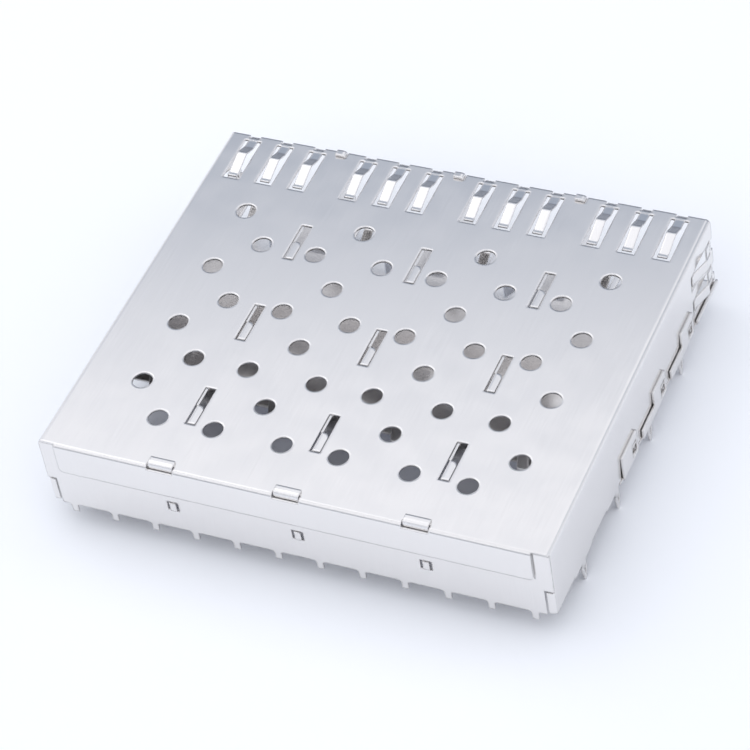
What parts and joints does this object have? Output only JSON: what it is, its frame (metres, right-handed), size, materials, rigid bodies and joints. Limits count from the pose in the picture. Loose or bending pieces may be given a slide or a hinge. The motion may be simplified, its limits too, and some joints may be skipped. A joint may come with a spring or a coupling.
{
  "type": "ganged sfp cage",
  "caption": "Flat folded sheet-metal cage that holds a row of pluggable optical modules against a circuit board, with sprung shielding fingers at its ports and press-fit pins",
  "frame": {"origin": "Centre of the floor's underside, the face that lies on the circuit board; the pins reach below it", "axes": "X across the row of bays, -Y out of the ports, +Z away from the circuit board"},
  "size_m": [0.0584, 0.0497, 0.0129],
  "materials": {
    "cover_plate": "nickel-plated sheet, satin bright",
    "divider_plate": "nickel-plated sheet, satin bright"
  },
  "bodies": {
    "root": {"top_cover": "cover_plate", "bottom_cover": "cover_plate", "back_plate": "cover_plate", "divider_left": "divider_plate", "divider_middle": "divider_plate", "divider_right": "divider_plate"}
  },
  "joints": []
}
